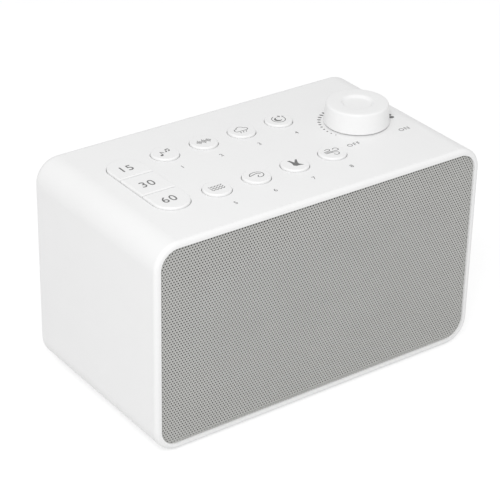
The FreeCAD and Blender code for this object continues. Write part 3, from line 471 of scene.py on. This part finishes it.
def icon_rain(x, y):
    cloud = circle(1.2, -2.0, 0.5, 10, 90, 250)
    cloud += circle(1.1, 2.1, 0.4, 10, -80, 60)
    cloud += circle(1.8, 0.2, 1.3, 12, 15, 165)
    drops = [[(at, -1.2), (at - 0.5, -2.4)] for at in (-1.3, 0.1, 1.5)]
    outline = cloud + [cloud[0]]
    return [stroked([outline], 0.34, x, y), stroked(drops, 0.34, x, y)]


def icon_night(x, y):
    ring = circle(3.0, 0.1, 0.1, 20, 105, 375)
    outer = circle(1.75, -0.25, 0.0, 22, 60, 330)
    inner = circle(1.35, 0.45, 0.35, 18, 300, 90)
    stars = [star(0.95, 1.7, 2.3), star(0.7, 3.2, 1.5)]
    return [stroked([ring], 0.36, x, y), filled([outer + inner] + stars, x, y)]


def icon_waves(x, y):
    rows = []
    for row in (-1.35, 0.0, 1.35):
        rows.append([(-3.2 + 0.8 * step, row + 0.55 * (1, -1)[step % 2]) for step in range(9)])
    return [stroked(rows, 0.38, x, y)]


def icon_stream(x, y):
    near = [(-3.0, 0.4), (-2.5, 2.0), (-0.2, 2.8), (2.4, 2.4), (3.7, 0.4), (2.6, -1.8), (0.4, -2.1)]
    near += [(-0.2, -1.0), (0.9, -0.2)]
    bank = [(-3.0, 0.4), (-1.4, 0.9), (0.6, 1.4), (2.0, 1.1), (2.2, 0.2)]
    return [stroked([near, bank], 0.38, x, y)]


def icon_bird(x, y):
    outline = [
        (-1.6, 3.4), (-0.5, 3.1), (0.3, 0.7), (2.1, 2.9), (2.9, 2.8), (1.6, 0.2), (1.4, -1.0),
        (2.7, -2.8), (1.0, -2.3), (-0.7, -2.2), (-1.6, -1.2), (-1.2, 0.2), (-1.1, 1.6),
    ]
    return [filled([outline], x, y)]


def icon_wind(x, y):
    lines = [
        [(-3.4, 0.5), (-1.0, 0.5), (1.2, 0.3), (3.6, 0.1), (3.9, 1.8), (2.4, 2.9), (1.4, 1.8)],
        [(-3.4, -0.2), (-1.2, -0.3), (0.8, -0.5), (2.4, -1.5), (1.4, -3.1), (-0.4, -2.9), (-0.4, -1.8)],
        [(-3.4, 1.2), (-2.0, 1.3), (-0.4, 1.4), (0.4, 2.4), (-0.9, 3.2), (-2.2, 2.6)],
    ]
    return [stroked(lines, 0.38, x, y)]


ICONS = (
    icon_notes, icon_sound, icon_rain, icon_night, icon_waves, icon_stream, icon_bird, icon_wind
)
LABEL_DROP = 13.2 * MM
LABEL_HEIGHT = 2.2 * MM
TIMER_DIGIT_HEIGHT = 4.5 * MM
TIMER_DIGIT_BOLD = 0.005
TIMER_DIGIT_SPACING = 1.16
TIMER_SHIFT = 0.8 * MM
TIMER_15_INSET = 6.7 * MM
TIMER_60_INSET = 8.1 * MM


def cap_centre(node):
    """Middle of a round cap, and the height of its top."""
    low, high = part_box(node)
    return (low.x + high.x) / 2, (low.y + high.y) / 2, high.z


def button_print():
    """A pictogram on each round cap, and a plain number in front of it."""
    for number, icon in enumerate(ICONS, 1):
        x, y, height = cap_centre("sound_button_%d" % number)
        sign = joined(icon(x, y), "sound_sign_%d" % number)
        inked(sign, "sound_sign_%d" % number, "sound_%d" % number, height)
        label = printed_text(str(number), x, y - LABEL_DROP, LABEL_HEIGHT)
        inked(label, "sound_number_%d" % number, "casing", TOP_Z)


def timer_print():
    """The minutes on the three timer buttons."""
    for minutes in ("15", "30", "60"):
        low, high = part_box("timer_button_" + minutes)
        centre_x = (low.x + high.x) / 2 - TIMER_SHIFT
        centre_y = (low.y + high.y) / 2 - TIMER_SHIFT
        if minutes == "15":
            centre_y = low.y + TIMER_15_INSET
        if minutes == "60":
            centre_y = high.y - TIMER_60_INSET
        digits = printed_text(
            minutes, centre_x, centre_y, TIMER_DIGIT_HEIGHT, TIMER_DIGIT_BOLD, TIMER_DIGIT_SPACING
        )
        inked(digits, "timer_digits_" + minutes, "timer_" + minutes, high.z)


DIAL_RADIUS = 16.2
DIAL_START = 199.0
DIAL_MARKS = 26
DIAL_STEP = 8.6
DIAL_FULL = 8
# Half length and half width of a mark in millimetres: at the start, added by DIAL_FULL, added after
MARK_LENGTH = (0.30, 0.62, 0.62)
MARK_WIDTH = (0.28, 0.22, 0.60)
MARK_POINTS = 16
DIAL_LETTER_HEIGHT = 2.3 * MM
OFF_PLACE = (-14.5 * MM, -16.6 * MM)
ON_PLACE = (12.9 * MM, -16.8 * MM)


def dial_print():
    """Marks that grow round the knob from off to full, with OFF and ON in front of it."""
    marks = []
    for number in range(DIAL_MARKS):
        angle = DIAL_START - DIAL_STEP * number
        turn = math.radians(angle)
        growth = min(number / DIAL_FULL, 1.0)
        swell = max(number - DIAL_FULL, 0) / (DIAL_MARKS - 1 - DIAL_FULL)
        long = MARK_LENGTH[0] + MARK_LENGTH[1] * growth + MARK_LENGTH[2] * swell
        wide = MARK_WIDTH[0] + MARK_WIDTH[1] * growth + MARK_WIDTH[2] * swell
        marks.append(ellipse(
            long, wide, angle, DIAL_RADIUS * math.cos(turn), DIAL_RADIUS * math.sin(turn), MARK_POINTS
        ))
    inked(filled(marks, KNOB_X, KNOB_Y), "dial_marks", "casing", TOP_Z)
    off = printed_text(
        "OFF", KNOB_X + OFF_PLACE[0], KNOB_Y + OFF_PLACE[1], DIAL_LETTER_HEIGHT, 0.0, 1.25
    )
    inked(off, "dial_off", "casing", TOP_Z)
    on = printed_text(
        "ON", KNOB_X + ON_PLACE[0], KNOB_Y + ON_PLACE[1], DIAL_LETTER_HEIGHT, 0.0, 1.2
    )
    inked(on, "dial_on", "casing", TOP_Z)


# Materials
class Value:
    """A number on its way through a material; arithmetic on it adds Math nodes."""

    def __init__(self, finish, socket):
        self.finish = finish
        self.socket = socket

    def combined(self, operation, first, second):
        node = self.finish.node("ShaderNodeMath", {"operation": operation}, {0: first, 1: second})
        return Value(self.finish, node.outputs[0])

    def __add__(self, other):
        return self.combined("ADD", self, other)

    def __radd__(self, other):
        return self.combined("ADD", other, self)

    def __sub__(self, other):
        return self.combined("SUBTRACT", self, other)

    def __rsub__(self, other):
        return self.combined("SUBTRACT", other, self)

    def __mul__(self, other):
        return self.combined("MULTIPLY", self, other)

    def __rmul__(self, other):
        return self.combined("MULTIPLY", other, self)


class Finish:
    """One material: a Principled shader and what feeds it, on the piece's own coordinates."""

    def __init__(self, name):
        self.material = bpy.data.materials.new(name)
        self.material.use_nodes = True
        self.tree = self.material.node_tree
        self.shader = self.tree.nodes["Principled BSDF"]
        self.place = self.node("ShaderNodeTexCoord").outputs["Object"]

    def node(self, kind, settings=None, inputs=None):
        node = self.tree.nodes.new(kind)
        for key, value in (settings or {}).items():
            if key == "stops":
                self.set_stops(node.color_ramp, value)
            else:
                setattr(node, key, value)
        for key, value in (inputs or {}).items():
            self.feed(node.inputs[key], value)
        return node

    def set_stops(self, ramp, stops):
        while len(ramp.elements) < len(stops):
            ramp.elements.new(0.5)
        for element, (position, colour) in zip(ramp.elements, stops):
            element.position = position
            element.color = (*colour, 1)

    def feed(self, socket, value):
        if isinstance(value, Value):
            value = value.socket
        if isinstance(value, bpy.types.NodeSocket):
            self.tree.links.new(value, socket)
        else:
            socket.default_value = value

    def set(self, **values):
        for key, value in values.items():
            self.feed(self.shader.inputs[key.replace("_", " ")], value)

    def noise(self, size, detail=2.0, stretch=(1, 1, 1)):
        """Noise whose lumps are about size metres across."""
        where = self.node("ShaderNodeMapping", None, {"Vector": self.place, "Scale": stretch})
        node = self.node(
            "ShaderNodeTexNoise", None,
            {"Vector": where.outputs[0], "Scale": 1 / size, "Detail": detail},
        )
        return Value(self, node.outputs["Fac"])

    def between(self, share, first, second):
        """Colour mixed from first to second by share."""
        node = self.node("ShaderNodeMix", {"data_type": "RGBA"}, {0: share})
        self.feed(node.inputs[6], (*first, 1) if isinstance(first, tuple) else first)
        self.feed(node.inputs[7], (*second, 1) if isinstance(second, tuple) else second)
        return node.outputs[2]

    def bump(self, height, depth, strength=1.0):
        node = self.node(
            "ShaderNodeBump", None, {"Height": height, "Distance": depth, "Strength": strength}
        )
        self.feed(self.shader.inputs["Normal"], node.outputs[0])


def shade(colour, factor):
    return tuple(channel * factor for channel in colour)


def moulded_plastic(name, colour, roughness=0.42, grain=0.22 * MM, depth=0.008 * MM):
    """Satin moulded plastic: a fine spark-eroded grain, faint flow mottling and handling sheen."""
    finish = Finish(name)
    mottle = finish.noise(14 * MM, 3)
    speck = finish.noise(grain, 2)
    handled = finish.noise(30 * MM, 4)
    finish.set(
        Base_Color=finish.between(mottle, shade(colour, 0.985), shade(colour, 1.01)),
        Roughness=roughness - 0.06 + 0.08 * handled + 0.05 * speck,
        IOR=1.46,
    )
    finish.bump(speck, depth, 0.5)
    return finish.material


def painted_sheet(name, colour):
    """Grey satin paint with orange-peel texture on pressed metal."""
    finish = Finish(name)
    peel = finish.noise(0.35 * MM, 3)
    cloudy = finish.noise(20 * MM, 3)
    finish.set(
        Base_Color=finish.between(cloudy, shade(colour, 0.96), shade(colour, 1.04)),
        Roughness=0.42 + 0.12 * peel,
        Metallic=0.15,
    )
    finish.bump(peel, 0.006 * MM, 0.4)
    return finish.material


def bare_metal(name, colour, roughness=0.3, stretch=(1, 1, 14)):
    """Plated or turned metal with fine drawn lines and dull patches."""
    finish = Finish(name)
    lines = finish.noise(0.3 * MM, 2, stretch)
    patch = finish.noise(6 * MM, 4)
    finish.set(
        Base_Color=finish.between(patch, shade(colour, 0.86), colour),
        Roughness=roughness - 0.08 + 0.14 * patch + 0.1 * lines,
        Metallic=1.0,
    )
    finish.bump(lines, 0.004 * MM, 0.4)
    return finish.material


def soft_rubber(name, colour, roughness=0.7):
    """Matt rubber or foam with a powdery bloom."""
    finish = Finish(name)
    bloom = finish.noise(3 * MM, 4)
    pores = finish.noise(0.18 * MM, 2)
    finish.set(
        Base_Color=finish.between(bloom, colour, shade(colour, 1.35)),
        Roughness=roughness + 0.12 * pores,
    )
    finish.bump(pores, 0.02 * MM, 0.5)
    return finish.material


def woven_cloth(name, colour, pitch=0.5 * MM):
    """Thin open weave: threads run both ways, with painted shade in the gaps between threads."""
    finish = Finish(name)
    scale = 1 / pitch
    warp = finish.node(
        "ShaderNodeTexWave", {"bands_direction": "X"},
        {"Vector": finish.place, "Scale": scale / 6.2832, "Distortion": 0.6},
    )
    weft = finish.node(
        "ShaderNodeTexWave", {"bands_direction": "Z"},
        {"Vector": finish.place, "Scale": scale / 6.2832, "Distortion": 0.6},
    )
    weave = Value(finish, warp.outputs["Fac"]) * Value(finish, weft.outputs["Fac"])
    # Painted shade: the colour follows the weave's height, dark in the gaps between threads and light
    # on the threads.
    finish.set(
        Base_Color=finish.between(weave, shade(colour, 0.5), shade(colour, 1.3)),
        Roughness=0.85 + 0.1 * weave,
    )
    finish.bump(weave, 0.05 * MM, 0.6)
    return finish.material


def pressed_pulp(name, colour):
    """Paper or fibre: short tangled fibres in a matt sheet."""
    finish = Finish(name)
    fibres = finish.noise(0.4 * MM, 5, (1, 3, 1))
    finish.set(
        Base_Color=finish.between(fibres, shade(colour, 0.7), shade(colour, 1.5)),
        Roughness=0.75 + 0.15 * fibres,
    )
    finish.bump(fibres, 0.05 * MM, 0.6)
    return finish.material


def circuit_board(name, colour):
    """Solder mask over copper: blocky lighter tracks under a glossy film."""
    finish = Finish(name)
    cells = finish.node(
        "ShaderNodeTexVoronoi", {"feature": "F1", "distance": "MANHATTAN"},
        {"Vector": finish.place, "Scale": 1 / (5 * MM)},
    )
    tracks = finish.node(
        "ShaderNodeValToRGB", {"stops": ((0.42, (0, 0, 0)), (0.47, (1, 1, 1)))},
        {"Fac": cells.outputs["Distance"]},
    )
    finish.set(
        Base_Color=finish.between(tracks.outputs[0], colour, shade(colour, 1.7)),
        Roughness=0.28 + 0.1 * finish.noise(2 * MM, 2),
    )
    return finish.material


def coil_winding(name, colour):
    """Enamelled wire, turn beside turn, with painted shade in the grooves between turns."""
    finish = Finish(name)
    turns = finish.node(
        "ShaderNodeTexWave", {"bands_direction": "Y"},
        {"Vector": finish.place, "Scale": 1 / (0.25 * MM * 6.2832)},
    )
    ridge_height_and_groove_shade = Value(finish, turns.outputs["Fac"])
    # Painted shade: the colour falls to 0.6 in the grooves between turns, where the height is low.
    finish.set(
        Base_Color=finish.between(ridge_height_and_groove_shade, shade(colour, 0.6), colour),
        Roughness=0.3 + 0.1 * ridge_height_and_groove_shade,
        Metallic=0.8,
    )
    finish.bump(ridge_height_and_groove_shade, 0.05 * MM, 0.6)
    return finish.material


def printing_ink(name, colour):
    """Pad-printed ink: matt, with slightly uneven cover."""
    finish = Finish(name)
    cover = finish.noise(0.5 * MM, 3)
    finish.set(
        Base_Color=finish.between(cover, shade(colour, 0.85), shade(colour, 1.25)),
        Roughness=0.55 + 0.1 * cover,
    )
    return finish.material


CASING_WHITE = (0.86, 0.86, 0.86)
KNOB_WHITE = (0.87, 0.87, 0.87)
GRILLE_GREY = (0.47, 0.47, 0.455)

FINISHES = {
    "casing_white": moulded_plastic("casing_white", CASING_WHITE),
    "button_white": moulded_plastic("button_white", CASING_WHITE, 0.38),
    "knob_white": moulded_plastic("knob_white", KNOB_WHITE, 0.36),
    "grille_metal": painted_sheet("grille_metal", GRILLE_GREY),
    "black_cloth": woven_cloth("black_cloth", (0.012, 0.012, 0.012)),
    "screw_steel": bare_metal("screw_steel", (0.62, 0.62, 0.62), 0.32),
    "foot_rubber": soft_rubber("foot_rubber", (0.10, 0.10, 0.10)),
    "switch_black": moulded_plastic("switch_black", (0.03, 0.03, 0.03), 0.4),
    "plunger_black": moulded_plastic("plunger_black", (0.05, 0.05, 0.05), 0.4),
    "board_green": circuit_board("board_green", (0.03, 0.16, 0.07)),
    "shaft_metal": bare_metal("shaft_metal", (0.70, 0.70, 0.68), 0.25),
    "pot_metal": bare_metal("pot_metal", (0.55, 0.55, 0.52), 0.35),
    "foam_black": soft_rubber("foam_black", (0.03, 0.03, 0.03), 0.85),
    "basket_steel": painted_sheet("basket_steel", (0.04, 0.04, 0.04)),
    "surround_rubber": soft_rubber("surround_rubber", (0.02, 0.02, 0.02), 0.5),
    "cone_paper": pressed_pulp("cone_paper", (0.05, 0.05, 0.05)),
    "coil_copper": coil_winding("coil_copper", (0.72, 0.36, 0.20)),
    "spider_cloth": woven_cloth("spider_cloth", (0.55, 0.42, 0.20), 0.6 * MM),
    "plate_steel": bare_metal("plate_steel", (0.60, 0.60, 0.55), 0.4, (1, 1, 1)),
    "magnet_ferrite": soft_rubber("magnet_ferrite", (0.06, 0.06, 0.06), 0.55),
    "terminal_fibre": pressed_pulp("terminal_fibre", (0.30, 0.17, 0.08)),
    "chip_black": moulded_plastic("chip_black", (0.025, 0.025, 0.025), 0.5),
    "capacitor_sleeve": moulded_plastic("capacitor_sleeve", (0.04, 0.04, 0.12), 0.25),
    "plug_white": moulded_plastic("plug_white", (0.80, 0.78, 0.70), 0.4),
    "wire_grey": soft_rubber("wire_grey", (0.40, 0.40, 0.40), 0.45),
    "wire_red": soft_rubber("wire_red", (0.45, 0.04, 0.04), 0.45),
    "ink": printing_ink("ink", (0.16, 0.16, 0.16)),
}


def dress_nodes():
    """Gives every carried-over node the finish of its material slot."""
    for entry in frame["record"]["subparts"]:
        node = frame["nodes"][entry["node"]]
        node.data.materials.clear()
        node.data.materials.append(FINISHES[entry["material_slot"]])


def dress(piece, finish):
    piece.data.materials.clear()
    piece.data.materials.append(FINISHES[finish])


# Studio
def make_camera():
    azimuth = math.radians(CAMERA_AZIMUTH)
    elevation = math.radians(CAMERA_ELEVATION)
    back = Vector((
        math.sin(azimuth) * math.cos(elevation), -math.cos(azimuth) * math.cos(elevation),
        math.sin(elevation),
    ))
    right = Vector((0, 0, 1)).cross(back).normalized()
    up = back.cross(right)
    roll = math.radians(CAMERA_ROLL)
    rolled_right = right * math.cos(roll) + up * math.sin(roll)
    rolled_up = up * math.cos(roll) - right * math.sin(roll)
    camera = bpy.data.objects.new("camera", bpy.data.cameras.new("camera"))
    bpy.context.scene.collection.objects.link(camera)
    turn = Matrix((rolled_right, rolled_up, back)).transposed().to_4x4()
    camera.matrix_world = Matrix.Translation(CAMERA_TARGET + back * CAMERA_DISTANCE) @ turn
    camera.data.lens = CAMERA_LENS
    camera.data.sensor_width = SENSOR_WIDTH
    camera.data.clip_start = 0.01
    camera.data.clip_end = 50
    bpy.context.scene.camera = camera


def area_lamp(name, place, size, power):
    lamp = bpy.data.lights.new(name, "AREA")
    lamp.shape = "SQUARE"
    lamp.size = size
    lamp.energy = power
    item = bpy.data.objects.new(name, lamp)
    bpy.context.scene.collection.objects.link(item)
    item.location = place
    aim = Vector(place) - LAMP_AIM
    item.rotation_euler = aim.to_track_quat("Z", "Y").to_euler()


def make_floor():
    """White floor that looks pure white to the camera and still takes a soft shadow."""
    deselect()
    bpy.ops.mesh.primitive_plane_add(size=FLOOR_SIZE)
    floor = named("studio_floor")
    finish = Finish("studio_white")
    tree = finish.tree
    tree.nodes.remove(finish.shader)
    output = tree.nodes["Material Output"]
    paper = finish.node("ShaderNodeBsdfDiffuse", None, {"Color": FLOOR_PAPER})
    shadow_taker = finish.node("ShaderNodeBsdfDiffuse", None, {"Color": FLOOR_SHADE})
    glow = finish.node("ShaderNodeEmission", None, {"Color": (1, 1, 1, 1), "Strength": FLOOR_GLOW})
    lit = finish.node("ShaderNodeAddShader", None, {0: shadow_taker.outputs[0], 1: glow.outputs[0]})
    path = finish.node("ShaderNodeLightPath")
    seen = Value(finish, path.outputs["Is Camera Ray"]) + Value(finish, path.outputs["Is Glossy Ray"])
    choice = finish.node(
        "ShaderNodeMixShader", None, {0: seen, 1: paper.outputs[0], 2: lit.outputs[0]}
    )
    finish.feed(output.inputs["Surface"], choice.outputs[0])
    floor.data.materials.append(finish.material)


def make_world():
    world = bpy.data.worlds.new("studio")
    bpy.context.scene.world = world
    world.use_nodes = True
    tree = world.node_tree
    tree.nodes.clear()
    output = tree.nodes.new("ShaderNodeOutputWorld")
    light = tree.nodes.new("ShaderNodeBackground")
    light.inputs["Color"].default_value = (1, 1, 1, 1)
    light.inputs["Strength"].default_value = WORLD_LIGHT
    white = tree.nodes.new("ShaderNodeBackground")
    white.inputs["Color"].default_value = (1, 1, 1, 1)
    white.inputs["Strength"].default_value = 1.0
    path = tree.nodes.new("ShaderNodeLightPath")
    choice = tree.nodes.new("ShaderNodeMixShader")
    tree.links.new(path.outputs["Is Camera Ray"], choice.inputs[0])
    tree.links.new(light.outputs[0], choice.inputs[1])
    tree.links.new(white.outputs[0], choice.inputs[2])
    tree.links.new(choice.outputs[0], output.inputs["Surface"])


# The whole
dress_nodes()
for half in front_grille():
    dress(half, "grille_metal")
dress(knob_cap(), "knob_white")
button_print()
timer_print()
dial_print()
make_floor()
make_world()
area_lamp("key", KEY_PLACE, KEY_SIZE, KEY_POWER)
make_camera()
bpy.context.scene.view_settings.view_transform = "Standard"
